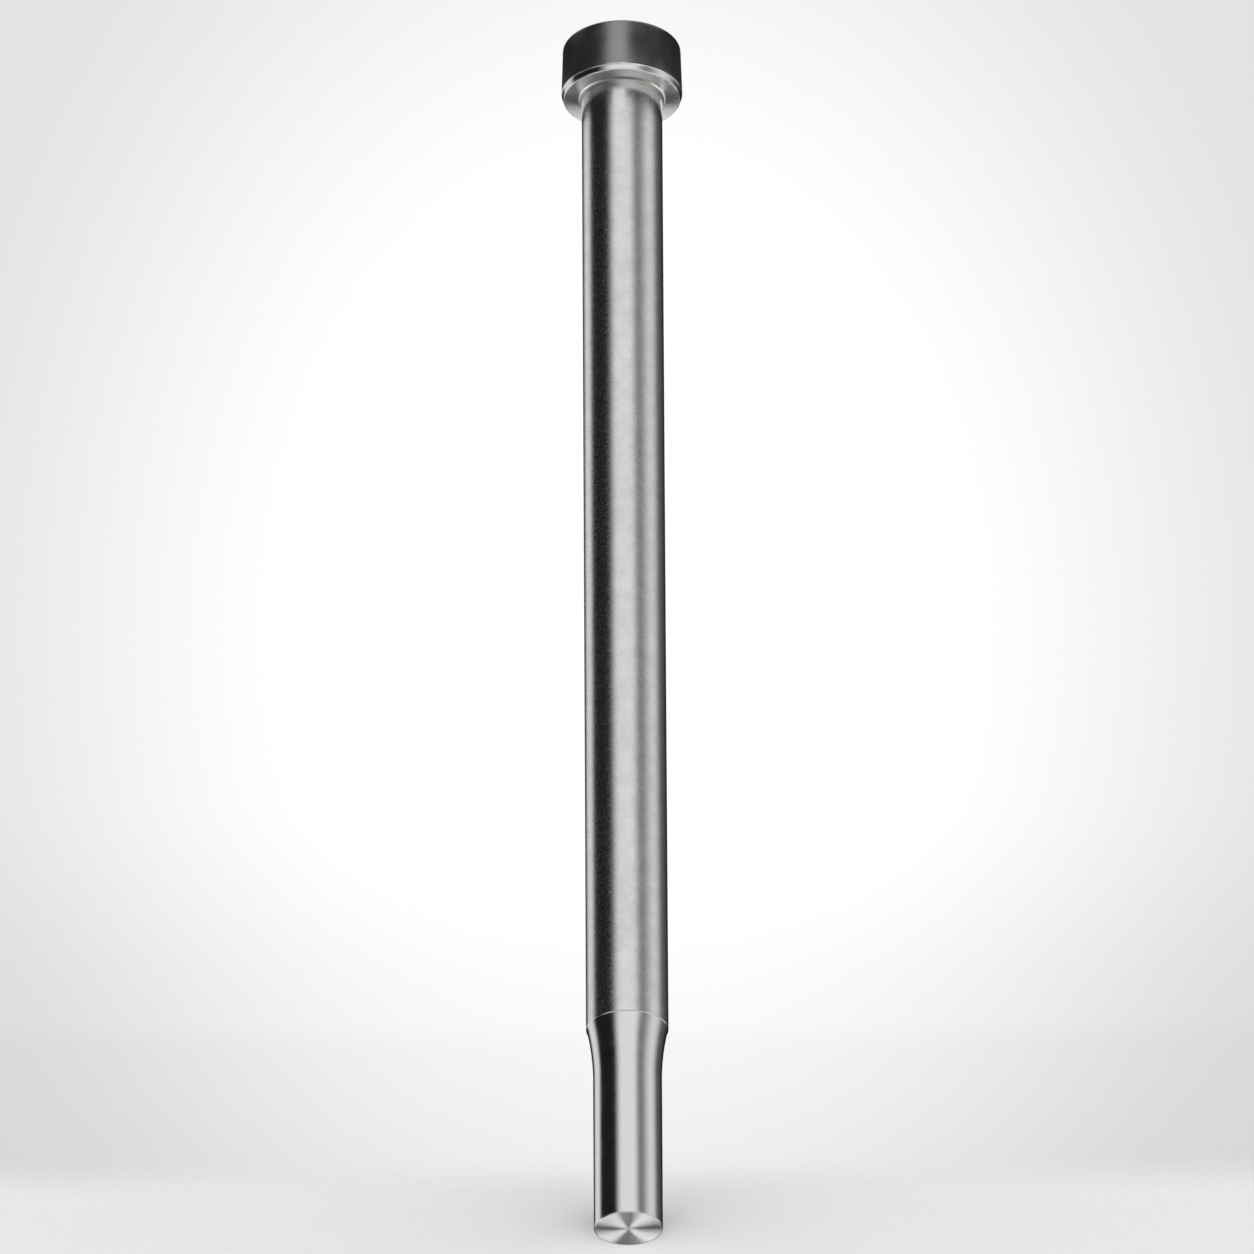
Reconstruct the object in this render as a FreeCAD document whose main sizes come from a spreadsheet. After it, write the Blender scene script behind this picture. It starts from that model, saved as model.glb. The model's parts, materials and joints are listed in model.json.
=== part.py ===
"""Headed round punch with a reduced point, built up from a ground bar and a brazed-on head collar.

Millimetres. +Z runs up the punch's axis, from the point to the head. The origin is on the axis, in the
plane of the head's seating face, so the head is above z = 0 and the shank hangs below it.

Three pieces share that axis:
  punch_body    the ground bar: spigot, shank, radius blend and reduced point
  head_collar   the steel collar that forms the head, bored to fit the spigot
  braze_joint   the brazing alloy: film round the spigot, filled mouths, fillet under the head
Each is one half profile turned about Z, and all three profiles are bound to the same spreadsheet.
"""
import FreeCAD, Part
import math
import os
import Sketcher

DRIVING_SIZES = {
    "overall_length": 100.0,      # head's top face to the point's end face
    "shank_dia": 6.0,             # ground shank
    "point_dia": 5.0,             # reduced point
    "point_length": 12.2,         # straight length of the point
    "blend_radius": 18.0,         # hollow radius between the point and the shank
    "edge_break": 0.08,           # small chamfer round the point's end face
    "spigot_dia": 5.0,            # upper end of the bar, inside the collar
    "spigot_root": 0.15,          # radius in the corner between the spigot and its shoulder
    "shoulder_drop": 0.05,        # how far the spigot's shoulder lies below the seating face
    "head_dia": 9.0,              # widest diameter of the head
    "head_height": 4.4,           # seating face to the head's top face
    "head_draft_angle": 1.7,      # degrees that the head's side leans in towards its top
    "head_top_round": 0.3,        # rounded top edge of the head
    "bevel_width": 0.21,          # bevel on the head's lower edge, measured radially
    "bevel_height": 0.48,         # the same bevel, measured along the axis
    "braze_gap": 0.05,            # radial clearance between the spigot and the collar's bore
    "upper_mouth": 0.4,           # 45 degree countersink at the top of the bore, filled with alloy
    "braze_leg": 0.25,            # reach of the alloy's fillet along the shank and along the seating face
    "braze_fillet_radius": 0.3,   # hollow radius of that fillet
}

START, END = 1, 2
ORIGIN = (-1, 1)
RADIUS_AXIS, HEIGHT_AXIS = -1, -2

doc = FreeCAD.newDocument("headed_punch")


def make_sheet():
    """Put the driving sizes in a spreadsheet, one row each, with its name as the alias."""
    sheet = doc.addObject("Spreadsheet::Sheet", "Sizes")
    for row, (name, value) in enumerate(DRIVING_SIZES.items(), start=1):
        sheet.set(f"A{row}", name)
        sheet.set(f"B{row}", str(value))
        sheet.setAlias(f"B{row}", name)
    doc.recompute()
    return sheet


sizes = make_sheet()


class Profile:
    """A closed half profile on a body's own XZ plane: x is the radius and y is the height along Z.

    Edge 0 runs from corner 0 to corner 1, and so on round. An edge in middles is an arc that passes
    through the point given there. At a smooth corner the two edges run tangentially into each other.
    """

    def __init__(self, body, corners, middles, smooth):
        plane = next(item for item in body.Origin.OriginFeatures if item.Role == "XZ_Plane")
        self.sketch = body.newObject("Sketcher::SketchObject", body.Label + "_profile")
        self.sketch.AttachmentSupport = [(plane, "")]
        self.sketch.MapMode = "FlatFace"
        self.corners = [FreeCAD.Vector(radius, height, 0) for radius, height in corners]
        count = len(corners)
        for edge in range(count):
            first = self.corners[edge]
            last = self.corners[(edge + 1) % count]
            if edge in middles:
                curve = Part.Arc(first, FreeCAD.Vector(*middles[edge], 0), last)
            else:
                curve = Part.LineSegment(first, last)
            self.sketch.addGeometry(curve, False)
        for corner in range(count):
            before = (corner - 1) % count
            kind = "Tangent" if corner in smooth else "Coincident"
            self.hold(kind, *self.end_at(before, corner), *self.end_at(corner, corner))

    def end_at(self, edge, corner):
        """The end of an edge that lies on a corner, as the sketch numbers it."""
        place = self.corners[corner]
        to_start = self.sketch.getPoint(edge, START).distanceToPoint(place)
        to_end = self.sketch.getPoint(edge, END).distanceToPoint(place)
        return edge, START if to_start < to_end else END

    def hold(self, kind, *terms):
        """Add a constraint and return its number."""
        return self.sketch.addConstraint(Sketcher.Constraint(kind, *terms))

    def bind(self, constraint, expression):
        """Drive a dimension from the spreadsheet."""
        self.sketch.setExpression(f"Constraints[{constraint}]", expression)

    def radius_at(self, corner, expression):
        """Set a corner's distance from the axis."""
        point = self.end_at(corner, corner)
        self.bind(self.hold("DistanceX", *ORIGIN, *point, self.corners[corner].x), expression)

    def height_at(self, corner, expression):
        """Set a corner's height above the seating face, or below it where the expression is negative."""
        point = self.end_at(corner, corner)
        self.bind(self.hold("DistanceY", *ORIGIN, *point, self.corners[corner].y), expression)

    def on_line(self, corner, line):
        """Put a corner on the sketch's radius axis or height axis."""
        self.hold("PointOnObject", *self.end_at(corner, corner), line)

    def arc_radius(self, edge, expression):
        """Set an arc's radius."""
        self.bind(self.hold("Radius", edge, self.sketch.Geometry[edge].Radius), expression)

    def slope(self, edge, expression):
        """Set the angle of a straight edge above the radius axis."""
        line = self.sketch.Geometry[edge]
        run = line.EndPoint - line.StartPoint
        self.bind(self.hold("Angle", edge, math.atan2(run.y, run.x)), expression)


def new_body(label):
    """An empty body, whose label names its file."""
    body = doc.addObject("PartDesign::Body", label)
    body.Label = label
    return body


def turn(body, profile):
    """Turn the profile a full turn about the body's Z axis."""
    revolution = body.newObject("PartDesign::Revolution", body.Label + "_turned")
    revolution.Profile = profile.sketch
    revolution.ReferenceAxis = (profile.sketch, ["V_Axis"])
    revolution.Angle = 360
    body.Tip = revolution
    body.Placement = FreeCAD.Placement()
    doc.recompute()
    if profile.sketch.solve() != 0 or not profile.sketch.FullyConstrained:
        raise ValueError(body.Label + ": the profile isn't fully constrained")
    return body


def halfway_round(centre, first, last):
    """The point on a circle about the centre, halfway between two of its points."""
    chord_x = (first[0] + last[0]) / 2 - centre[0]
    chord_y = (first[1] + last[1]) / 2 - centre[1]
    stretch = math.dist(centre, first) / math.hypot(chord_x, chord_y)
    return centre[0] + chord_x * stretch, centre[1] + chord_y * stretch


def make_punch_body():
    """The ground bar: a spigot for the collar, the shank, a radius blend and the reduced point."""
    body = new_body("punch_body")
    top = sizes.head_height
    spigot = sizes.spigot_dia / 2
    shank = sizes.shank_dia / 2
    point = sizes.point_dia / 2
    root = sizes.spigot_root
    shoulder = -sizes.shoulder_drop
    end_face = sizes.head_height - sizes.overall_length
    straight_top = end_face + sizes.point_length
    step = shank - point
    blend_rise = math.sqrt(2 * sizes.blend_radius * step - step ** 2)
    root_centre = (spigot + root, shoulder + root)
    blend_centre = (point + sizes.blend_radius, straight_top)
    corners = [
        (0, top),
        (spigot, top),
        (spigot, shoulder + root),
        (spigot + root, shoulder),
        (shank, shoulder),
        (shank, straight_top + blend_rise),
        (point, straight_top),
        (point, end_face + sizes.edge_break),
        (point - sizes.edge_break, end_face),
        (0, end_face),
    ]
    middles = {
        2: halfway_round(root_centre, corners[2], corners[3]),
        5: halfway_round(blend_centre, corners[5], corners[6]),
    }
    profile = Profile(body, corners, middles, smooth=(2, 3, 6))
    for level in (0, 3, 8):
        profile.hold("Horizontal", level)
    for upright in (1, 4, 6):
        profile.hold("Vertical", upright)
    profile.on_line(0, HEIGHT_AXIS)
    profile.on_line(9, HEIGHT_AXIS)
    profile.height_at(1, "Sizes.head_height")
    profile.radius_at(1, "Sizes.spigot_dia / 2")
    profile.arc_radius(2, "Sizes.spigot_root")
    profile.height_at(4, "-Sizes.shoulder_drop")
    profile.radius_at(4, "Sizes.shank_dia / 2")
    profile.arc_radius(5, "Sizes.blend_radius")
    profile.radius_at(6, "Sizes.point_dia / 2")
    profile.height_at(6, "Sizes.head_height - Sizes.overall_length + Sizes.point_length")
    profile.height_at(7, "Sizes.head_height - Sizes.overall_length + Sizes.edge_break")
    profile.radius_at(8, "Sizes.point_dia / 2 - Sizes.edge_break")
    profile.height_at(8, "Sizes.head_height - Sizes.overall_length")
    return turn(body, profile)


def make_head_collar():
    """The head: a collar with a bevelled lower edge, a slight draft and a countersunk bore."""
    body = new_body("head_collar")
    top = sizes.head_height
    bore = sizes.spigot_dia / 2 + sizes.braze_gap
    lower_mouth = sizes.shank_dia / 2 + sizes.braze_leg
    rim = sizes.head_dia / 2
    lean = (top - sizes.bevel_height) * math.tan(math.radians(sizes.head_draft_angle))
    upper_rim = rim - lean
    edge_round = sizes.head_top_round
    corners = [
        (bore, top - sizes.upper_mouth),
        (bore, lower_mouth - bore),
        (lower_mouth, 0),
        (rim - sizes.bevel_width, 0),
        (rim, sizes.bevel_height),
        (upper_rim, top - edge_round),
        (upper_rim - edge_round, top),
        (bore + sizes.upper_mouth, top),
    ]
    round_centre = (upper_rim - edge_round, top - edge_round)
    middles = {5: halfway_round(round_centre, corners[5], corners[6])}
    profile = Profile(body, corners, middles, smooth=(5, 6))
    profile.hold("Vertical", 0)
    profile.hold("Horizontal", 2)
    profile.hold("Horizontal", 6)
    profile.radius_at(0, "Sizes.spigot_dia / 2 + Sizes.braze_gap")
    profile.height_at(0, "Sizes.head_height - Sizes.upper_mouth")
    profile.height_at(1, "Sizes.shank_dia / 2 + Sizes.braze_leg - Sizes.spigot_dia / 2 - Sizes.braze_gap")
    profile.on_line(2, RADIUS_AXIS)
    profile.radius_at(2, "Sizes.shank_dia / 2 + Sizes.braze_leg")
    profile.radius_at(3, "Sizes.head_dia / 2 - Sizes.bevel_width")
    profile.radius_at(4, "Sizes.head_dia / 2")
    profile.height_at(4, "Sizes.bevel_height")
    profile.slope(4, "(90 + Sizes.head_draft_angle) * 1deg")
    profile.arc_radius(5, "Sizes.head_top_round")
    profile.radius_at(7, "Sizes.spigot_dia / 2 + Sizes.braze_gap + Sizes.upper_mouth")
    profile.height_at(7, "Sizes.head_height")
    return turn(body, profile)


def make_braze_joint():
    """The alloy between the bar and the collar, with both countersinks filled and a fillet under the head."""
    body = new_body("braze_joint")
    top = sizes.head_height
    spigot = sizes.spigot_dia / 2
    bore = spigot + sizes.braze_gap
    shank = sizes.shank_dia / 2
    leg = sizes.braze_leg
    root = sizes.spigot_root
    shoulder = -sizes.shoulder_drop
    half_chord = leg * math.sqrt(0.5)
    depth = math.sqrt(sizes.braze_fillet_radius ** 2 - half_chord ** 2) * math.sqrt(0.5)
    fillet_centre = (shank + leg / 2 + depth, -leg / 2 - depth)
    root_centre = (spigot + root, shoulder + root)
    corners = [
        (spigot, top),
        (bore + sizes.upper_mouth, top),
        (bore, top - sizes.upper_mouth),
        (bore, shank + leg - bore),
        (shank + leg, 0),
        (shank, -leg),
        (shank, shoulder),
        (spigot + root, shoulder),
        (spigot, shoulder + root),
    ]
    middles = {
        4: halfway_round(fillet_centre, corners[4], corners[5]),
        7: halfway_round(root_centre, corners[7], corners[8]),
    }
    profile = Profile(body, corners, middles, smooth=(7, 8))
    for level in (0, 6):
        profile.hold("Horizontal", level)
    for upright in (2, 5, 8):
        profile.hold("Vertical", upright)
    profile.radius_at(0, "Sizes.spigot_dia / 2")
    profile.height_at(0, "Sizes.head_height")
    profile.radius_at(1, "Sizes.spigot_dia / 2 + Sizes.braze_gap + Sizes.upper_mouth")
    profile.radius_at(2, "Sizes.spigot_dia / 2 + Sizes.braze_gap")
    profile.height_at(2, "Sizes.head_height - Sizes.upper_mouth")
    profile.height_at(3, "Sizes.shank_dia / 2 + Sizes.braze_leg - Sizes.spigot_dia / 2 - Sizes.braze_gap")
    profile.on_line(4, RADIUS_AXIS)
    profile.radius_at(4, "Sizes.shank_dia / 2 + Sizes.braze_leg")
    profile.arc_radius(4, "Sizes.braze_fillet_radius")
    profile.radius_at(5, "Sizes.shank_dia / 2")
    profile.height_at(5, "-Sizes.braze_leg")
    profile.height_at(6, "-Sizes.shoulder_drop")
    profile.arc_radius(7, "Sizes.spigot_root")
    return turn(body, profile)


def check_document():
    """Stop if any object failed to build."""
    for item in doc.Objects:
        if "Invalid" in item.State or "Error" in item.State:
            raise ValueError(f"{item.Label} failed: {item.State}")


def check_and_export(body):
    """Stop unless the piece is one sound solid, then write its STEP file."""
    shape = body.Shape
    if shape.isNull() or not shape.isValid() or len(shape.Solids) != 1:
        raise ValueError(body.Label + " isn't one valid solid")
    print(f"{body.Label}: {shape.Volume:.3f} mm3")
    shape.exportStep(f"parts/{body.Label}.step")


pieces = [make_punch_body(), make_head_collar(), make_braze_joint()]
doc.recompute()
check_document()
os.makedirs("parts", exist_ok=True)
for piece in pieces:
    check_and_export(piece)
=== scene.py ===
"""Looks for a headed round punch: a ground steel bar with a black head collar brazed onto it.

Everything is in metres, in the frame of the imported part: +Z up the punch's axis, z = 0 in the plane of
the head's seating face. The camera looks up at the punch from below. Materials work in millimetres.
"""
import json
import math

import bpy
from mathutils import Matrix, Vector


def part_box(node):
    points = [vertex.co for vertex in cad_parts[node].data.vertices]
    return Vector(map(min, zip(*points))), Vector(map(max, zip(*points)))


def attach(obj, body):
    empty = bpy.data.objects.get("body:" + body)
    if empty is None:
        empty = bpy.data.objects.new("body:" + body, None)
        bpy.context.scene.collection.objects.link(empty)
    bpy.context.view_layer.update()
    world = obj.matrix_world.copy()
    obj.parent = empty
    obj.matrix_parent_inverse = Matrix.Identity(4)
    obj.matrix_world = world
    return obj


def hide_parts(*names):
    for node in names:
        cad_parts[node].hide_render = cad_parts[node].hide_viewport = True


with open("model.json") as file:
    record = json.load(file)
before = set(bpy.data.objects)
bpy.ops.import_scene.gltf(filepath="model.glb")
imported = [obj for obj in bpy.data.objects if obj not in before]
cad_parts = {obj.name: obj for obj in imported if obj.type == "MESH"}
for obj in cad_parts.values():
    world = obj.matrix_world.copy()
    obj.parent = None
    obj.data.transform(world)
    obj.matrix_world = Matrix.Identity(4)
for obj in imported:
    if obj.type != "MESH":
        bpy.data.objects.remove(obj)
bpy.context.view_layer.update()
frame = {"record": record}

MM = 0.001
SEGMENTS = 288                     # facets round each turned piece
ROUNDING_STEPS = 6                 # facets across each rounded corner
BLEND_STEPS = 48                   # facets along the radius blend
FILLET_STEPS = 10                  # facets across the alloy's fillet
SHARP_ANGLE = math.radians(25)     # edges that turn more than this stay crisp
ON_AXIS = 1e-9                     # a profile point this near the axis is on it

# ---------------------------------------------------------------- sizes

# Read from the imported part.
MOUNTS = {mount["name"]: mount for mount in frame["record"]["mounts"]}
BAR_LOW, BAR_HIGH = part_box("punch_body")
_, COLLAR_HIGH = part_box("head_collar")
BRAZE_LOW, BRAZE_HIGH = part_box("braze_joint")
TIP = BAR_LOW.z
TOP = BAR_HIGH.z
MIDDLE = Vector((0, 0, (TIP + TOP) / 2))
SHANK_R = MOUNTS["shank"]["dims"]["r_mm"] * MM
POINT_R = MOUNTS["point"]["dims"]["r_mm"] * MM
HEAD_R = COLLAR_HIGH.x
BRAZE_R = BRAZE_HIGH.x
BRAZE_LEG = -BRAZE_LOW.z

# The same as in the CAD.
EDGE_BREAK = 0.08 * MM             # round the end face
SHOULDER_DROP = 0.05 * MM          # the spigot's shoulder is this far below the seating face
SPIGOT_R = 2.5 * MM
BRAZE_GAP = 0.05 * MM
BORE_R = SPIGOT_R + BRAZE_GAP
UPPER_MOUTH = 0.4 * MM             # countersink at the top of the bore
FILLET_R = 0.3 * MM                # hollow radius of the alloy under the head
BEVEL_WIDTH = 0.21 * MM
BEVEL_HEIGHT = 0.48 * MM
HEAD_LEAN = math.tan(math.radians(1.7)) * (TOP - BEVEL_HEIGHT)
HEAD_TOP_ROUND = 0.3 * MM
STRAIGHT_TOP = TIP + MOUNTS["point"]["dims"]["length_mm"] * MM + EDGE_BREAK
SHANK_LOW = -SHOULDER_DROP - MOUNTS["shank"]["dims"]["length_mm"] * MM

# In the looks only.
GRIND_STEP = 0.06 * MM             # where the grinding of the point began
BEVEL_LIP = 0.07 * MM              # burnished edge each side of the bevel
FINE_ROUND = 0.02 * MM
SEAT_ROUND = 0.03 * MM
SHARP = 0                          # no rounding


# ---------------------------------------------------------------- meshes

def mesh_object(name, verts, faces, materials):
    """A mesh with those materials, as an object in the scene."""
    mesh = bpy.data.meshes.new(name)
    mesh.from_pydata(verts, [], faces)
    for material in materials:
        mesh.materials.append(material)
    obj = bpy.data.objects.new(name, mesh)
    bpy.context.scene.collection.objects.link(obj)
    return obj


def rounded(corners):
    """A profile's points, each paired with the finish of the edge that follows it.

    Each corner is (radius, height, rounding, finish). A corner with a rounding becomes a short arc.
    """
    points = []
    count = len(corners)
    for index, (radius, height, rounding, finish) in enumerate(corners):
        here = Vector((radius, height))
        if rounding == SHARP:
            points.append((here, finish))
            continue
        before = Vector(corners[index - 1][:2]) - here
        after = Vector(corners[(index + 1) % count][:2]) - here
        half_turn = before.angle(after) / 2
        setback = rounding / math.tan(half_turn)
        inward = (before.normalized() + after.normalized()).normalized()
        centre = here + inward * (rounding / math.sin(half_turn))
        start = here + before.normalized() * setback - centre
        sweep = math.pi - 2 * half_turn
        if start.x * after.y - start.y * after.x < 0:
            sweep = -sweep
        for step in range(ROUNDING_STEPS + 1):
            turned = start.copy()
            turned.rotate(Matrix.Rotation(sweep * step / ROUNDING_STEPS, 2))
            edge_finish = corners[index - 1][3] if step < ROUNDING_STEPS / 2 else finish
            points.append((centre + turned, edge_finish))
    return points


def turned_piece(name, profile, finishes, closed):
    """A piece turned about Z from a profile of (point, finish) pairs. A closed profile is a ring."""
    verts, faces, slots = [], [], []
    rings = []
    for point, _ in profile:
        if point.x < ON_AXIS:
            rings.append([len(verts)] * SEGMENTS)
            verts.append((0, 0, point.y))
            continue
        rings.append([len(verts) + k for k in range(SEGMENTS)])
        for k in range(SEGMENTS):
            angle = 2 * math.pi * k / SEGMENTS
            verts.append((point.x * math.cos(angle), point.x * math.sin(angle), point.y))
    pairs = list(zip(range(len(rings) - 1), range(1, len(rings))))
    if closed:
        pairs.append((len(rings) - 1, 0))
    for upper, lower in pairs:
        for k in range(SEGMENTS):
            after = (k + 1) % SEGMENTS
            loop = [rings[upper][k], rings[lower][k], rings[lower][after], rings[upper][after]]
            faces.append([v for i, v in enumerate(loop) if v != loop[i - 1]])
            slots.append(profile[upper][1])
    piece = mesh_object(name, verts, faces, finishes)
    piece.data.polygons.foreach_set("material_index", slots)
    piece.data.polygons.foreach_set("use_smooth", [True] * len(faces))
    piece.data.set_sharp_from_angle(angle=SHARP_ANGLE)
    piece.data.validate()
    return piece


# ---------------------------------------------------------------- node helpers

class Tree:
    """Short ways to add and join shader nodes."""

    def __init__(self, node_tree):
        self.nodes = node_tree.nodes
        self.links = node_tree.links
        self.nodes.clear()

    def add(self, kind, settings=None, **sockets):
        """Add a node, set its properties, and fill or link its inputs by name."""
        node = self.nodes.new("ShaderNode" + kind)
        for key, value in (settings or {}).items():
            setattr(node, key, value)
        for key, value in sockets.items():
            self.feed(node.inputs[key.replace("_", " ")], value)
        return node

    def feed(self, socket, value):
        """Link an output to the socket, or set the socket's own value."""
        if isinstance(value, bpy.types.NodeSocket):
            self.links.new(value, socket)
        else:
            socket.default_value = value

    def operate(self, kind, operation, values):
        """A node that works on values, given in the order of its inputs."""
        node = self.add(kind, {"operation": operation})
        for index, value in enumerate(values):
            self.feed(node.inputs[index], value)
        return node

    def math(self, operation, *values):
        """The number from one Math node."""
        return self.operate("Math", operation, values).outputs[0]

    def degrees(self, operation, *values):
        """The angle from one Math node, in degrees."""
        return self.math("MULTIPLY", self.math(operation, *values), 180 / math.pi)

    def vector(self, operation, *values):
        """The vector from one Vector Math node."""
        return self.operate("VectorMath", operation, values).outputs["Vector"]

    def measure(self, operation, *values):
        """The number from one Vector Math node."""
        return self.operate("VectorMath", operation, values).outputs["Value"]

    def ramp(self, value, low, high, to_low=0.0, to_high=1.0):
        """Value from low to high, mapped smoothly to to_low and to_high."""
        node = self.add("MapRange", {"interpolation_type": "SMOOTHSTEP"}, Value=value)
        node.inputs["From Min"].default_value = low
        node.inputs["From Max"].default_value = high
        node.inputs["To Min"].default_value = to_low
        node.inputs["To Max"].default_value = to_high
        return node.outputs[0]

    def coordinate(self, vector, axis):
        """One coordinate of a vector."""
        return self.add("SeparateXYZ", Vector=vector).outputs[axis]

    def noise(self, vector, scale, detail=3.0, roughness=0.5):
        """Noise in place of that vector, as one number."""
        return self.add("TexNoise", Vector=vector, Scale=scale, Detail=detail, Roughness=roughness).outputs[0]

    def mixed(self, factor, first, second):
        """A colour between two colours."""
        node = self.add("Mix", {"data_type": "RGBA"})
        for index, value in ((0, factor), (6, first), (7, second)):
            self.feed(node.inputs[index], value)
        return node.outputs[2]

    def tint(self, factor, dark, light):
        """A colour between two colours given without alpha."""
        return self.mixed(factor, (*dark, 1), (*light, 1))

    def bump(self, height, distance):
        """A bump of that real height."""
        return self.add("Bump", Height=height, Distance=distance, Strength=1.0).outputs[0]

    def end(self, shader, kind="OutputMaterial"):
        """Send a shader to the tree's output."""
        self.links.new(shader.outputs[0], self.add(kind).inputs["Surface"])


def new_material(name):
    """A node material, its tree and a vector in millimetres of the part's own frame."""
    material = bpy.data.materials.new(name)
    material.use_nodes = True
    tree = Tree(material.node_tree)
    place = tree.add("TexCoord").outputs["Object"]
    return material, tree, tree.vector("MULTIPLY", place, (1 / MM, 1 / MM, 1 / MM))


def finish_metal(tree, color, roughness, normal, anisotropic):
    """End a material in a metal shader whose grain, if it has one, runs round the Z axis."""
    shader = tree.add("BsdfPrincipled", Base_Color=color, Metallic=1.0, Roughness=roughness, Normal=normal)
    if anisotropic:
        shader.inputs["Anisotropic"].default_value = anisotropic
        tangent = tree.add("Tangent", {"direction_type": "RADIAL", "axis": "Z"}).outputs[0]
        tree.feed(shader.inputs["Tangent"], tangent)
    tree.end(shader)


# ---------------------------------------------------------------- materials

# Noise scales are per millimetre, because each material's place is in millimetres.
NO_GRAIN, GROUND_GRAIN, FACED_GRAIN = 0.0, 0.3, 0.97     # anisotropy


def ground_steel():
    """The shank: centreless ground and hardened. Matt and mottled, with fine ticks across it and specks."""
    material, tree, place = new_material("ground_steel")
    mottle = tree.noise(place, 0.8, 4, 0.6)
    grain = tree.noise(tree.vector("MULTIPLY", place, (1, 1, 1.5)), 4.6, 3, 0.6)
    ticks = tree.noise(tree.vector("MULTIPLY", place, (0.8, 0.8, 9.0)), 1.0, 3)
    rise = tree.math("SUBTRACT", tree.coordinate(place, "Z"), SHANK_LOW / MM)
    near_shoulder = tree.ramp(rise, 0.5, 6.0, 0.10, 0)
    scuffed = tree.math("MULTIPLY", near_shoulder, tree.ramp(mottle, 0.4, 0.6))
    specks = tree.ramp(tree.math("ADD", tree.noise(place, 6.0, 0, 0), scuffed), 0.80, 0.86)
    color = tree.tint(tree.ramp(mottle, 0.3, 0.7), (0.62, 0.62, 0.625), (0.70, 0.70, 0.70))
    matt = tree.ramp(grain, 0.25, 0.75, 0.17, 0.27)
    roughness = tree.math("ADD", matt, tree.math("MULTIPLY", specks, 0.15))
    height = tree.math("ADD", tree.math("MULTIPLY", grain, 0.7), tree.math("MULTIPLY", ticks, 0.3))
    finish_metal(tree, color, roughness, tree.bump(height, 0.0065 * MM), GROUND_GRAIN)
    return material


def polished_steel():
    """The blend, the point and the head's bevel: ground finer and polished round the axis."""
    material, tree, place = new_material("polished_steel")
    mottle = tree.noise(place, 0.8, 3)
    lines = tree.noise(tree.vector("MULTIPLY", place, (0.4, 0.4, 12.0)), 1.0, 3)
    color = tree.tint(mottle, (0.66, 0.66, 0.665), (0.72, 0.72, 0.72))
    roughness = tree.ramp(mottle, 0.3, 0.7, 0.13, 0.18)
    finish_metal(tree, color, roughness, tree.bump(lines, 0.0015 * MM), GROUND_GRAIN)
    return material


def turned_steel(name, roughness_low, roughness_high, dull_centre=False):
    """A faced surface: fine rings round the axis, which draw the light out into radial wedges.

    A dull centre, where the tool rubbed instead of cutting, washes the wedges out near the axis.
    """
    material, tree, place = new_material(name)
    flat = tree.vector("MULTIPLY", place, (1, 1, 0))
    radius = tree.measure("LENGTH", flat)
    rings = tree.noise(tree.add("CombineXYZ", X=radius).outputs[0], 16.0, 4)
    color = tree.tint(rings, (0.66, 0.66, 0.66), (0.74, 0.74, 0.735))
    roughness = tree.ramp(rings, 0.3, 0.7, roughness_low, roughness_high)
    if dull_centre:
        spoke = tree.vector("NORMALIZE", flat)
        streaks = tree.ramp(tree.noise(spoke, 5.0, 4, 0.7), 0.3, 0.7, -0.06, 0.06)
        rubbed = tree.ramp(radius, 0.15, 0.85, 0.26, 0)
        roughness = tree.math("ADD", tree.math("ADD", roughness, streaks), rubbed)
    finish_metal(tree, color, roughness, tree.bump(rings, 0.0003 * MM), FACED_GRAIN)
    return material


def black_skin():
    """The collar's side: a thin satin black heat skin on turned steel, worn ragged along its lower edge."""
    material, tree, place = new_material("black_skin")
    cloud = tree.noise(place, 0.9, 4)
    grain = tree.noise(place, 8.0, 3)
    rise = tree.math("SUBTRACT", tree.coordinate(place, "Z"), BEVEL_HEIGHT / MM)
    raggedness = tree.math("MULTIPLY", tree.noise(place, 3.0, 4, 0.7), 0.30)
    worn = tree.ramp(tree.math("SUBTRACT", rise, raggedness), -0.13, -0.10, 1, 0)
    skin = tree.tint(cloud, (0.29, 0.29, 0.292), (0.34, 0.34, 0.342))
    color = tree.mixed(worn, skin, (0.66, 0.66, 0.66, 1))
    satin = tree.ramp(cloud, 0.3, 0.7, 0.34, 0.40)
    roughness = tree.math("SUBTRACT", satin, tree.math("MULTIPLY", worn, 0.16))
    finish_metal(tree, color, roughness, tree.bump(grain, 0.0015 * MM), NO_GRAIN)
    return material


def braze_alloy():
    """Silver brazing alloy, smooth as it froze, with faint ripples."""
    material, tree, place = new_material("braze_alloy")
    ripple = tree.noise(place, 3.0, 2)
    color = tree.tint(ripple, (0.42, 0.41, 0.39), (0.50, 0.49, 0.46))
    roughness = tree.ramp(ripple, 0.3, 0.7, 0.34, 0.44)
    finish_metal(tree, color, roughness, tree.bump(ripple, 0.006 * MM), NO_GRAIN)
    return material


# Each piece's finishes, and the names of their places in the list.
POLISHED_STEEL = polished_steel()
GROUND_TOP = turned_steel("ground_top", 0.28, 0.36)
TURNED_END = turned_steel("turned_end", 0.35, 0.39, dull_centre=True)
TURNED_SEAT = turned_steel("turned_seat", 0.29, 0.33)
BAR_FINISHES = [ground_steel(), POLISHED_STEEL, TURNED_END, GROUND_TOP]
SHANK, POINT, END, BAR_TOP = range(4)
COLLAR_FINISHES = [black_skin(), POLISHED_STEEL, TURNED_SEAT, GROUND_TOP]
SIDE, BEVEL, SEAT, COLLAR_TOP = range(4)
BRAZE_FINISHES = [braze_alloy()]
ALLOY = 0


# ---------------------------------------------------------------- the three pieces

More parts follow.
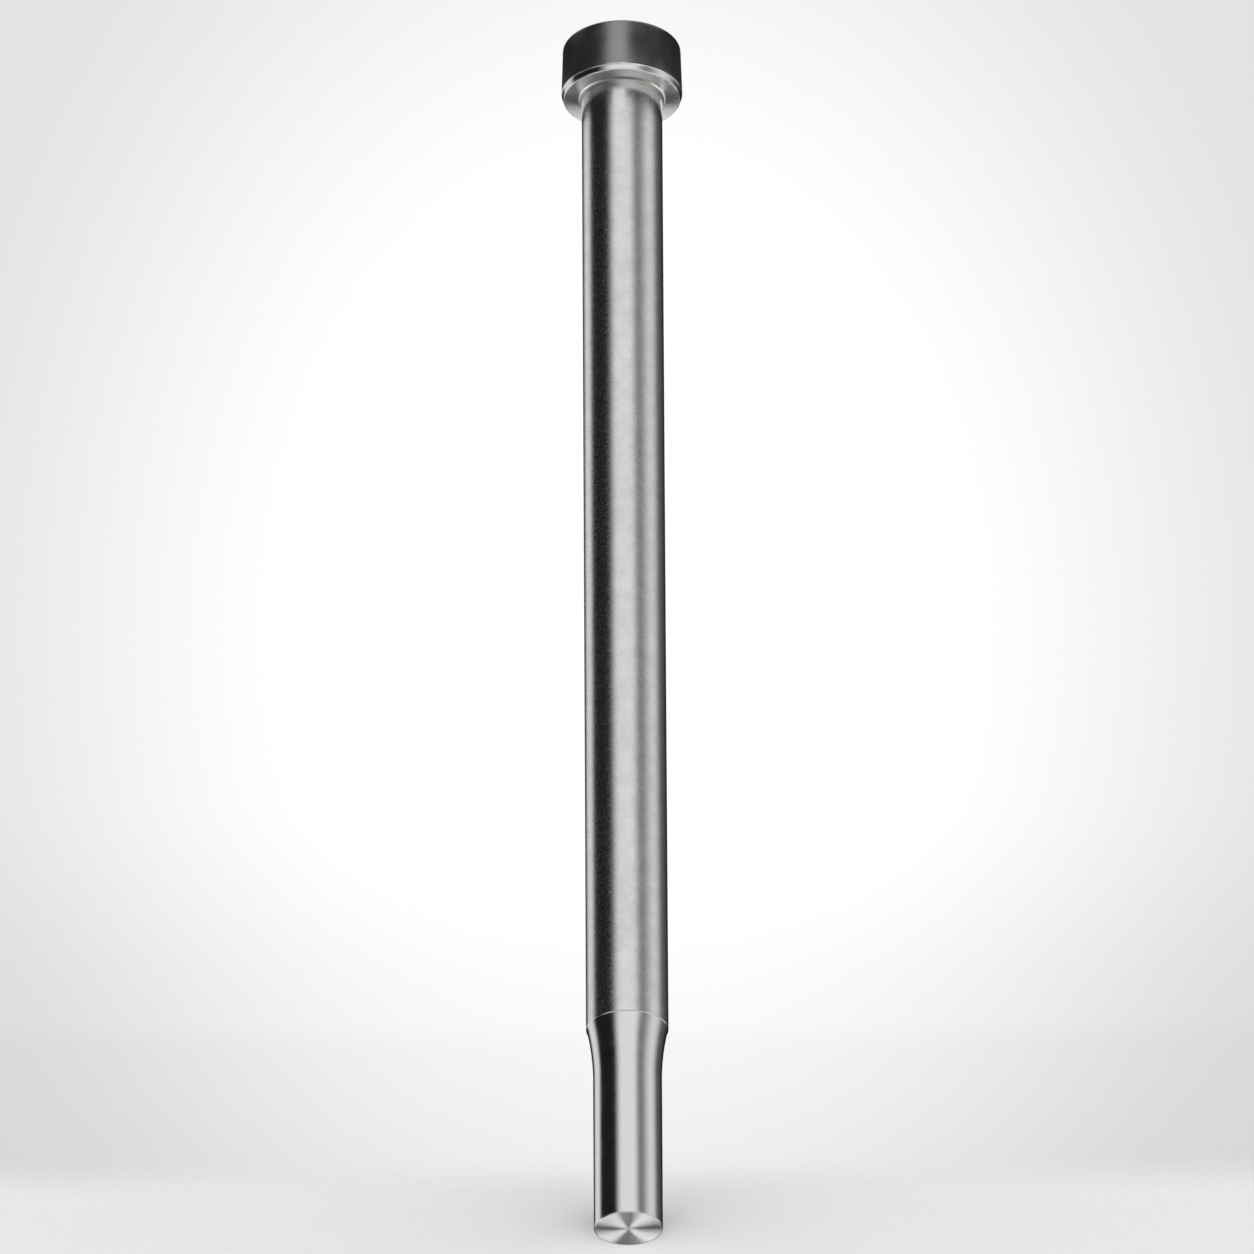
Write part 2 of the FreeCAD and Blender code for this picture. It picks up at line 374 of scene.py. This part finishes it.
def blend_profile():
    """The radius blend, from the step where its grinding began down to the straight point."""
    rise = SHANK_LOW - GRIND_STEP - STRAIGHT_TOP
    step = SHANK_R - GRIND_STEP - POINT_R
    blend_radius = (rise ** 2 + step ** 2) / (2 * step)
    sweep = math.acos(1 - step / blend_radius)
    points = []
    for index in range(BLEND_STEPS + 1):
        angle = sweep * (1 - index / BLEND_STEPS)
        radius = POINT_R + blend_radius * (1 - math.cos(angle))
        points.append((Vector((radius, STRAIGHT_TOP + blend_radius * math.sin(angle))), POINT))
    return points


def make_bar():
    """Shank, radius blend and point. A tiny bright step shows where the grinding of the point began."""
    upper = rounded([
        (0, TOP, SHARP, BAR_TOP),
        (SPIGOT_R, TOP, SHARP, SHANK),
        (SPIGOT_R, -SHOULDER_DROP, SHARP, SHANK),
        (SHANK_R, -SHOULDER_DROP, SHARP, SHANK),
        (SHANK_R, SHANK_LOW, SHARP, POINT),
    ])
    lower = rounded([
        (POINT_R, STRAIGHT_TOP, SHARP, POINT),
        (POINT_R, TIP + EDGE_BREAK, FINE_ROUND, POINT),
        (POINT_R - EDGE_BREAK, TIP, FINE_ROUND, END),
        (0, TIP, SHARP, END),
    ])
    profile = upper + blend_profile() + lower[1:]     # the blend ends on the lower part's first point
    piece = turned_piece("ground_bar", profile, BAR_FINISHES, closed=False)
    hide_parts("punch_body")
    return piece


def make_collar():
    """The black collar: a bevel with a burnished edge each side, turned seat, draft and rounded top edge."""
    profile = rounded([
        (BORE_R + UPPER_MOUTH, TOP, SHARP, COLLAR_TOP),
        (HEAD_R - HEAD_LEAN, TOP, HEAD_TOP_ROUND, SIDE),
        (HEAD_R, BEVEL_HEIGHT, FINE_ROUND, BEVEL),
        (HEAD_R - BEVEL_LIP, BEVEL_HEIGHT - BEVEL_LIP, FINE_ROUND, BEVEL),
        (HEAD_R - BEVEL_WIDTH + BEVEL_LIP, BEVEL_LIP, SEAT_ROUND, BEVEL),
        (HEAD_R - BEVEL_WIDTH, 0, SEAT_ROUND, SEAT),
        (BRAZE_R, 0, SHARP, SEAT),
        (BORE_R, BRAZE_R - BORE_R, SHARP, SEAT),
        (BORE_R, TOP - UPPER_MOUTH, SHARP, SEAT),
    ])
    piece = turned_piece("head_collar_turned", profile, COLLAR_FINISHES, closed=True)
    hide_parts("head_collar")
    return piece


def fillet_profile():
    """The alloy's hollow face in the corner under the head, from the seat down to the shank."""
    half = BRAZE_LEG / 2
    depth = math.sqrt((FILLET_R ** 2 - 2 * half ** 2) / 2)
    centre = Vector((SHANK_R + half + depth, -half - depth))
    start = Vector((BRAZE_R, 0)) - centre
    sweep = start.angle(Vector((SHANK_R, -BRAZE_LEG)) - centre)
    points = []
    for index in range(FILLET_STEPS + 1):
        turned = start.copy()
        turned.rotate(Matrix.Rotation(sweep * index / FILLET_STEPS, 2))
        points.append((centre + turned, ALLOY))
    return points


def make_braze():
    """The alloy: film round the spigot, filled mouths, and the hollow fillet in the corner under the head."""
    upper = rounded([
        (SPIGOT_R, TOP, SHARP, ALLOY),
        (BORE_R + UPPER_MOUTH, TOP, SHARP, ALLOY),
        (BORE_R, TOP - UPPER_MOUTH, SHARP, ALLOY),
        (BORE_R, BRAZE_R - BORE_R, SHARP, ALLOY),
    ])
    lower = rounded([
        (SHANK_R, -SHOULDER_DROP, SHARP, ALLOY),
        (SPIGOT_R, -SHOULDER_DROP, SHARP, ALLOY),
    ])
    piece = turned_piece("silver_braze", upper + fillet_profile() + lower, BRAZE_FINISHES, closed=True)
    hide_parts("braze_joint")
    return piece


for piece in (make_bar(), make_collar(), make_braze()):
    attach(piece, "root")

# ---------------------------------------------------------------- camera

CAMERA_DISTANCE = 1.545
CAMERA_PITCH = math.radians(30.1)      # the camera looks up by this much
CAMERA_ROLL = math.radians(-0.33)
CAMERA_LENS = 604.2                    # mm
SENSOR_WIDTH = 36                      # mm
AIM_RIGHT = 0.148 * MM                 # the camera aims this far from the punch's middle
AIM_UP = 0.187 * MM


def camera_axes():
    """The camera's right, up and forward directions."""
    forward = Vector((0, math.cos(CAMERA_PITCH), math.sin(CAMERA_PITCH)))
    level_right = Vector((1, 0, 0))
    level_up = level_right.cross(forward)
    right = level_right * math.cos(CAMERA_ROLL) + level_up * math.sin(CAMERA_ROLL)
    return right, right.cross(forward), forward


RIGHT, UP, FORWARD = camera_axes()
EYE = MIDDLE + RIGHT * AIM_RIGHT + UP * AIM_UP - FORWARD * CAMERA_DISTANCE


def make_camera():
    """A long lens, looking up at the middle of the punch."""
    data = bpy.data.cameras.new("photo_camera")
    data.lens = CAMERA_LENS
    data.sensor_width = SENSOR_WIDTH
    data.clip_start = 0.01
    data.clip_end = 20
    camera = bpy.data.objects.new("photo_camera", data)
    rotation = Matrix((RIGHT, UP, -FORWARD)).transposed().to_4x4()
    camera.matrix_world = Matrix.Translation(EYE) @ rotation
    bpy.context.scene.collection.objects.link(camera)
    bpy.context.scene.camera = camera


make_camera()

# ---------------------------------------------------------------- studio light

ROOM_GLOW = 0.016                      # what the metal reflects between the boxes


def soft_box(tree, angle, low, high, soft):
    """1 between two angles in degrees, 0 outside, with soft edges centred on them."""
    rise = tree.ramp(angle, low - soft, low + soft)
    fall = tree.ramp(angle, high - soft, high + soft, 1, 0)
    return tree.math("MULTIPLY", rise, fall)


def tall_boxes(tree, azimuth, elevation):
    """The boxes that the punch's upright surfaces reflect, added up. The key's sides lean."""
    leaning = tree.math("SUBTRACT", azimuth, tree.ramp(elevation, -30, 15, 20, 0))
    boxes = [
        (leaning, -33, 29, 13, 1.20),          # key, in front
        (azimuth, 26, 62, 14, 0.29),           # its dimmer right-hand side
        (azimuth, 62, 102, 17, 1.05),          # fill, right
        (azimuth, 100, 138, 18, 0.12),         # its spill, further round
        (azimuth, -142, -106, 9, 1.10),        # rim, left
    ]
    level = 0.0
    for angle, low, high, soft, brightness in boxes:
        box = soft_box(tree, angle, low, high, soft)
        level = tree.math("ADD", tree.math("MULTIPLY", box, brightness), level)
    return tree.math("MULTIPLY", level, tree.ramp(elevation, -62, -50))


def low_boxes(tree, azimuth, elevation):
    """The boxes that the seat, bevel, shoulder and end face reflect, each on its own."""
    turn = tree.math("ABSOLUTE", azimuth)
    boxes = [
        (soft_box(tree, turn, 138, 164, 3), (-70, -36, 3), 6.0),             # low, both sides, behind
        (tree.ramp(turn, 126, 136, 1, 0), (-70, -46, 6), 0.75),              # low, in front and beside
        (soft_box(tree, azimuth, 98, 132, 8), (-46, -14, 6), 0.75),          # right
        (soft_box(tree, azimuth, -96, -58, 8), (-36, -8, 5), 0.5),           # left
        (soft_box(tree, azimuth, 148, 174, 5), (-40, -12, 6), 0.9),          # behind, right
    ]
    lights = []
    for across, (low, high, soft), brightness in boxes:
        box = tree.math("MULTIPLY", across, soft_box(tree, elevation, low, high, soft))
        lights.append(tree.math("MULTIPLY", box, brightness))
    return lights


def make_world():
    """Soft boxes round the punch, as a pattern of light on the sky. Azimuth 0 is -Y, and 90 is +X."""
    world = bpy.data.worlds.new("studio")
    bpy.context.scene.world = world
    world.use_nodes = True
    tree = Tree(world.node_tree)
    parts = tree.add("SeparateXYZ", Vector=tree.add("TexCoord").outputs["Generated"])
    away = tree.math("MULTIPLY", parts.outputs["Y"], -1)
    azimuth = tree.degrees("ARCTAN2", parts.outputs["X"], away)
    elevation = tree.degrees("ARCSINE", parts.outputs["Z"])
    level = tree.math("ADD", tall_boxes(tree, azimuth, elevation), ROOM_GLOW)
    for light in low_boxes(tree, azimuth, elevation):
        level = tree.math("MAXIMUM", light, level)
    overhead = tree.math("MULTIPLY", tree.ramp(elevation, 66, 80), 0.6)
    level = tree.math("MAXIMUM", overhead, level)
    tree.end(tree.add("Background", Strength=level), "OutputWorld")


make_world()

# ---------------------------------------------------------------- floor and backdrop

STAGE_RADIUS = 2.6
FOOT_GAP = 0.02 * MM                   # the floor lies this far under the punch's end face
FLOOR_LEVEL = TIP - FOOT_GAP
FLOOR_GREY = 0.276
FLOOR_TONE = 0.826                     # the lit floor's own brightness, which the dome fades to
FIBRE = 0.006                          # the paper's grey varies by this much each way
FOOT_SIGHT = math.atan2(               # the camera looks up at the foot by this angle
    CAMERA_DISTANCE * FORWARD.z - (MIDDLE.z - TIP), CAMERA_DISTANCE * FORWARD.y)

# The floor's opening, in millimetres from the punch's axis. The camera stands towards -Y.
WINDOW_X, WINDOW_X_SOFT = (-60, 60), 30
WINDOW_Y, WINDOW_Y_SOFT = (-190, -11), 6
NOTCH_START = -30
CRISP = 0.01                           # how soft a crisp edge is

# Lights for the floor only: name, direction towards the light, strength, spread in degrees.
FLOOR_LIGHTS = [
    ("floor_left", (-1, 0.45, 1.3), 6.98, 70),
    ("floor_right", (1, 0.45, 1.3), 6.98, 70),
    ("floor_above", (0, 0.5, 1), 4.99, 80),
]


def only_seen(obj):
    """A stage object that the camera sees, but that neither lights nor shades the punch."""
    obj.visible_diffuse = False
    obj.visible_glossy = False
    obj.visible_transmission = False
    obj.visible_shadow = False


def inside(tree, value, low, high, soft):
    """1 where the value is between low and high, 0 outside, with soft edges beyond them."""
    rise = tree.ramp(value, low - soft, low)
    fall = tree.ramp(value, high, high + soft, 1, 0)
    return tree.math("MULTIPLY", rise, fall)


def seen_circle(tree, place, height, circle_r):
    """1 on the floor inside the outline that a circle of the foot, at that height, has from the camera."""
    nearer = (height + FOOT_GAP) / math.tan(FOOT_SIGHT) / MM
    moved = tree.vector("ADD", place, (0, nearer, 0))
    radius = tree.measure("LENGTH", tree.vector("MULTIPLY", moved, (1, 1, 0)))
    return tree.ramp(radius, circle_r / MM - CRISP, circle_r / MM, 1, 0)


def floor_opening(tree, place):
    """1 in the floor's opening, 0 elsewhere. The camera looks up at the punch through it, from -Y.

    It is a wide soft-edged window in front of the foot, a notch as wide as the point that leads from
    there to the foot, and the foot's own outline.
    """
    parts = tree.add("SeparateXYZ", Vector=place)
    across, along = parts.outputs["X"], parts.outputs["Y"]
    window = tree.math("MULTIPLY", inside(tree, across, *WINDOW_X, WINDOW_X_SOFT),
                       inside(tree, along, *WINDOW_Y, WINDOW_Y_SOFT))
    point_r = POINT_R / MM
    notch_end = -(EDGE_BREAK + FOOT_GAP) / math.tan(FOOT_SIGHT) / MM
    notch = tree.math("MULTIPLY", inside(tree, across, -point_r, point_r, CRISP),
                      inside(tree, along, NOTCH_START, notch_end, CRISP))
    opening = tree.math("MAXIMUM", window, notch)
    for height, circle_r in ((0, POINT_R - EDGE_BREAK), (EDGE_BREAK, POINT_R)):
        opening = tree.math("MAXIMUM", opening, seen_circle(tree, place, height, circle_r))
    return opening


def mixed_shader(tree, factor, first, second):
    """A mix of two shaders."""
    mix = tree.add("MixShader")
    for index, value in enumerate((factor, first.outputs[0], second.outputs[0])):
        tree.feed(mix.inputs[index], value)
    return mix


def paper_material(name, grey, opening):
    """Thin pale paper that light passes through, so the punch's shadow shows from below as well."""
    material, tree, place = new_material(name)
    color = tree.tint(tree.noise(place, 2.0, 4), (grey - FIBRE,) * 3, (grey + FIBRE,) * 3)
    lit = tree.add("BsdfDiffuse", Color=color)
    surface = mixed_shader(tree, 0.5, lit, tree.add("BsdfTranslucent", Color=color))
    if opening:
        surface = mixed_shader(tree, floor_opening(tree, place), surface, tree.add("BsdfTransparent"))
    tree.end(surface)
    return material


def backdrop_material():
    """A pale backdrop with painted light: a painted pool of light, white where the camera looks, and painted
    shade greyer round that, with a faint darker horizon low down.
    """
    material, tree, place = new_material("pale_backdrop")
    direction = tree.vector("NORMALIZE", place)
    offsets = []
    for axis, stretch in ((RIGHT, 1.15), (UP, 0.85)):
        offsets.append(tree.measure("DOT_PRODUCT", direction, axis * stretch * 180 / math.pi))
    square = tree.math("ADD", tree.math("POWER", offsets[0], 2), tree.math("POWER", offsets[1], 2))
    distance = tree.math("SQRT", square)
    # Painted pool of light: brightest where the camera looks, greyer round it.
    spread = tree.ramp(distance, 1.0, 4.0, 1.05, 0.75)
    height = tree.degrees("ARCSINE", tree.coordinate(direction, "Z"))
    # Painted shade: greyer low down on the wall, a faint darker horizon line, and greyer again below it.
    wall = tree.ramp(height, 28.35, 29.4, 0.93, 1.0)
    horizon = tree.ramp(height, 28.25, 28.4, 0.965, 1.0)
    below = tree.ramp(height, 27.2, 28.3, 0.96, 1.0)
    shade = tree.math("MULTIPLY", tree.math("MULTIPLY", wall, horizon), below)
    pattern = tree.math("SUBTRACT", tree.math("MULTIPLY", spread, shade), FLOOR_TONE)
    pattern = tree.math("MULTIPLY", pattern, tree.ramp(distance, 3.0, 6.0, 1.0, 0.0))
    tree.end(tree.add("Emission", Strength=tree.math("ADD", pattern, FLOOR_TONE)))
    return material


def make_floor():
    """A level floor just under the punch's foot."""
    corners = [(-1, -1), (1, -1), (1, 1), (-1, 1)]
    verts = [(x * STAGE_RADIUS, y * STAGE_RADIUS, FLOOR_LEVEL) for x, y in corners]
    only_seen(mesh_object("pale_floor", verts, [(0, 1, 2, 3)],
                          [paper_material("pale_floor", FLOOR_GREY, opening=True)]))


def make_dome():
    """A pale dome all round."""
    bpy.ops.mesh.primitive_uv_sphere_add(segments=96, ring_count=48, radius=STAGE_RADIUS, location=MIDDLE)
    dome = bpy.context.object
    dome.name = "backdrop_dome"
    dome.data.materials.append(backdrop_material())
    for polygon in dome.data.polygons:
        polygon.use_smooth = True
    only_seen(dome)


def make_floor_lights():
    """Soft light for the floor. The punch doesn't reflect it."""
    for name, toward, strength, spread in FLOOR_LIGHTS:
        data = bpy.data.lights.new(name, "SUN")
        data.energy = strength
        data.angle = math.radians(spread)
        light = bpy.data.objects.new(name, data)
        light.rotation_mode = "QUATERNION"
        light.rotation_quaternion = Vector(toward).to_track_quat("Z", "Y")
        light.visible_glossy = False
        bpy.context.scene.collection.objects.link(light)


# ---------------------------------------------------------------- slats and flag

SLAT_GREY = 0.358                      # paler than the floor, because tilted paper catches less light
SLAT_STEP = 0.25 * MM
SLAT_DEPTH = 0.8 * MM
SLAT_COUNT = 144
SLAT_WIDTH = 60 * MM
SLAT_DROP = 0.002 * MM                 # from the floor down to the slats

FLAG_RADIUS = 13 * MM
FLAG_LOW = 4.6 * MM
FLAG_HIGH = 14 * MM
FLAG_START, FLAG_END = 9, 336          # degrees of azimuth; the rest is open, in front
FLAG_STEPS = 96
FLAG_GLOW = 0.018


def make_slats():
    """Paper slats under the opening, near the foot. Each lies in a plane through the camera, edge on to it.

    From above they close the opening, so the floor and the punch's soft shadow carry on over it.
    """
    verts, faces = [], []
    for index in range(SLAT_COUNT):
        upper = Vector((EYE.x, -SLAT_STEP * (index + 1), FLOOR_LEVEL - SLAT_DROP))
        lower = upper + (EYE - upper).normalized() * SLAT_DEPTH
        start = len(verts)
        for side, edge in ((-1, upper), (1, upper), (1, lower), (-1, lower)):
            verts.append((side * SLAT_WIDTH / 2, edge.y, edge.z))
        faces.append((start, start + 1, start + 2, start + 3))
    paper = paper_material("pale_slats", SLAT_GREY, opening=False)
    only_seen(mesh_object("pale_slats", verts, faces, [paper]))


def make_flag():
    """A black sleeve round and above the head, open in front, that keeps the side boxes off its side."""
    material, tree, _ = new_material("black_flag")
    tree.end(tree.add("Emission", Strength=FLAG_GLOW))
    verts, faces = [], []
    for index in range(FLAG_STEPS + 1):
        azimuth = math.radians(FLAG_START + (FLAG_END - FLAG_START) * index / FLAG_STEPS)
        x, y = FLAG_RADIUS * math.sin(azimuth), -FLAG_RADIUS * math.cos(azimuth)
        verts += [(x, y, FLAG_LOW), (x, y, FLAG_HIGH)]
    for index in range(0, 2 * FLAG_STEPS, 2):
        faces.append((index, index + 2, index + 3, index + 1))
    flag = mesh_object("black_flag", verts, faces, [material])
    flag.visible_camera = False


make_floor()
make_dome()
make_slats()
make_flag()
make_floor_lights()

bpy.context.scene.view_settings.view_transform = "Standard"
